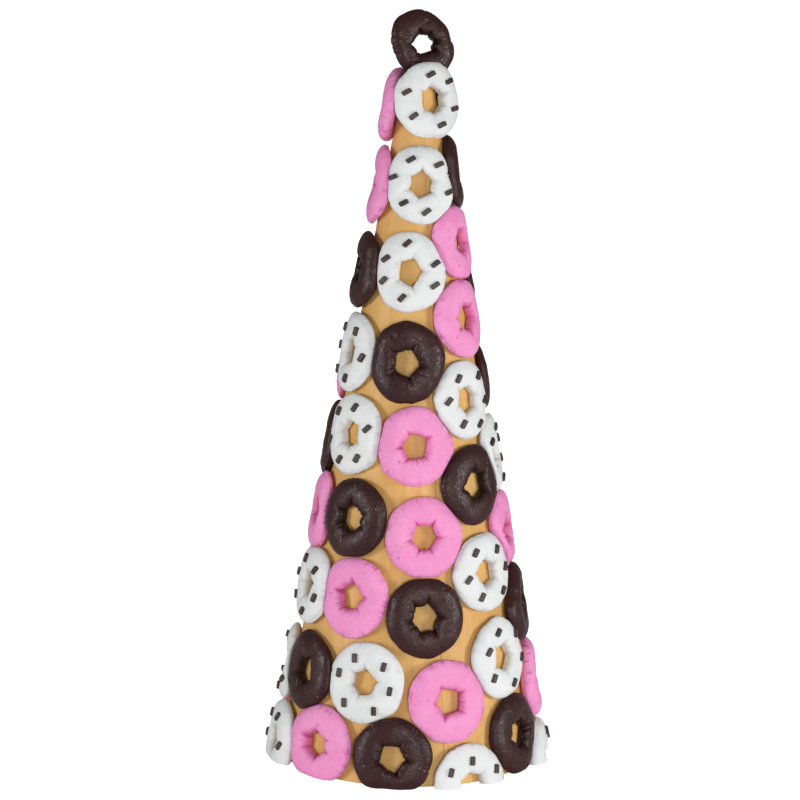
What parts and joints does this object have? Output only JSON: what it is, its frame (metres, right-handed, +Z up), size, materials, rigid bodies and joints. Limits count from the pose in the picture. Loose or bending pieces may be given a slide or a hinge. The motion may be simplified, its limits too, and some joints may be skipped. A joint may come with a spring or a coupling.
{
  "type": "doughnut tree",
  "caption": "Table-top cone tree covered all round in small pressed-on doughnuts, some with sprinkles, with one doughnut standing upright on top.",
  "frame": {"origin": "centre of the cone's flat base, on the surface that the tree stands on", "axes": "+Z up along the cone's axis, -Y to the front, +X to the right as seen from the front"},
  "size_m": [0.1772, 0.1716, 0.4575],
  "materials": {
    "tan_cone": "smooth satin, faint streaks",
    "white_dough": "satin modelled dough",
    "pink_dough": "satin modelled dough",
    "chocolate_dough": "satin modelled dough"
  },
  "bodies": {
    "root": {"chocolate_doughnut_03": "chocolate_dough", "chocolate_doughnut_04": "chocolate_dough", "chocolate_doughnut_11": "chocolate_dough", "chocolate_doughnut_12": "chocolate_dough", "chocolate_doughnut_14": "chocolate_dough", "chocolate_doughnut_16": "chocolate_dough", "chocolate_doughnut_18": "chocolate_dough", "chocolate_doughnut_24": "chocolate_dough", "chocolate_doughnut_26": "chocolate_dough", "chocolate_doughnut_27": "chocolate_dough", "chocolate_doughnut_30": "chocolate_dough", "chocolate_doughnut_32": "chocolate_dough", "chocolate_doughnut_39": "chocolate_dough", "chocolate_doughnut_41": "chocolate_dough", "chocolate_doughnut_44": "chocolate_dough", "chocolate_doughnut_45": "chocolate_dough", "chocolate_doughnut_51": "chocolate_dough", "chocolate_doughnut_52": "chocolate_dough", "chocolate_doughnut_54": "chocolate_dough", "chocolate_doughnut_top": "chocolate_dough", "cone": "tan_cone", "pink_doughnut_02": "pink_dough", "pink_doughnut_06": "pink_dough", "pink_doughnut_08": "pink_dough", "pink_doughnut_09": "pink_dough", "pink_doughnut_13": "pink_dough", "pink_doughnut_17": "pink_dough", "pink_doughnut_22": "pink_dough", "pink_doughnut_23": "pink_dough", "pink_doughnut_28": "pink_dough", "pink_doughnut_29": "pink_dough", "pink_doughnut_31": "pink_dough", "pink_doughnut_33": "pink_dough", "pink_doughnut_36": "pink_dough", "pink_doughnut_37": "pink_dough", "pink_doughnut_47": "pink_dough", "pink_doughnut_48": "pink_dough", "pink_doughnut_49": "pink_dough", "pink_doughnut_50": "pink_dough", "pink_doughnut_53": "pink_dough", "white_doughnut_01": "white_dough", "white_doughnut_05": "white_dough", "white_doughnut_07": "white_dough", "white_doughnut_10": "white_dough", "white_doughnut_15": "white_dough", "white_doughnut_19": "white_dough", "white_doughnut_20": "white_dough", "white_doughnut_21": "white_dough", "white_doughnut_25": "white_dough", "white_doughnut_34": "white_dough", "white_doughnut_35": "white_dough", "white_doughnut_38": "white_dough", "white_doughnut_40": "white_dough", "white_doughnut_42": "white_dough", "white_doughnut_43": "white_dough", "white_doughnut_46": "white_dough", "white_doughnut_55": "white_dough", "white_doughnut_56": "white_dough", "white_half_doughnut_57": "white_dough", "white_half_doughnut_58": "white_dough"}
  },
  "joints": []
}
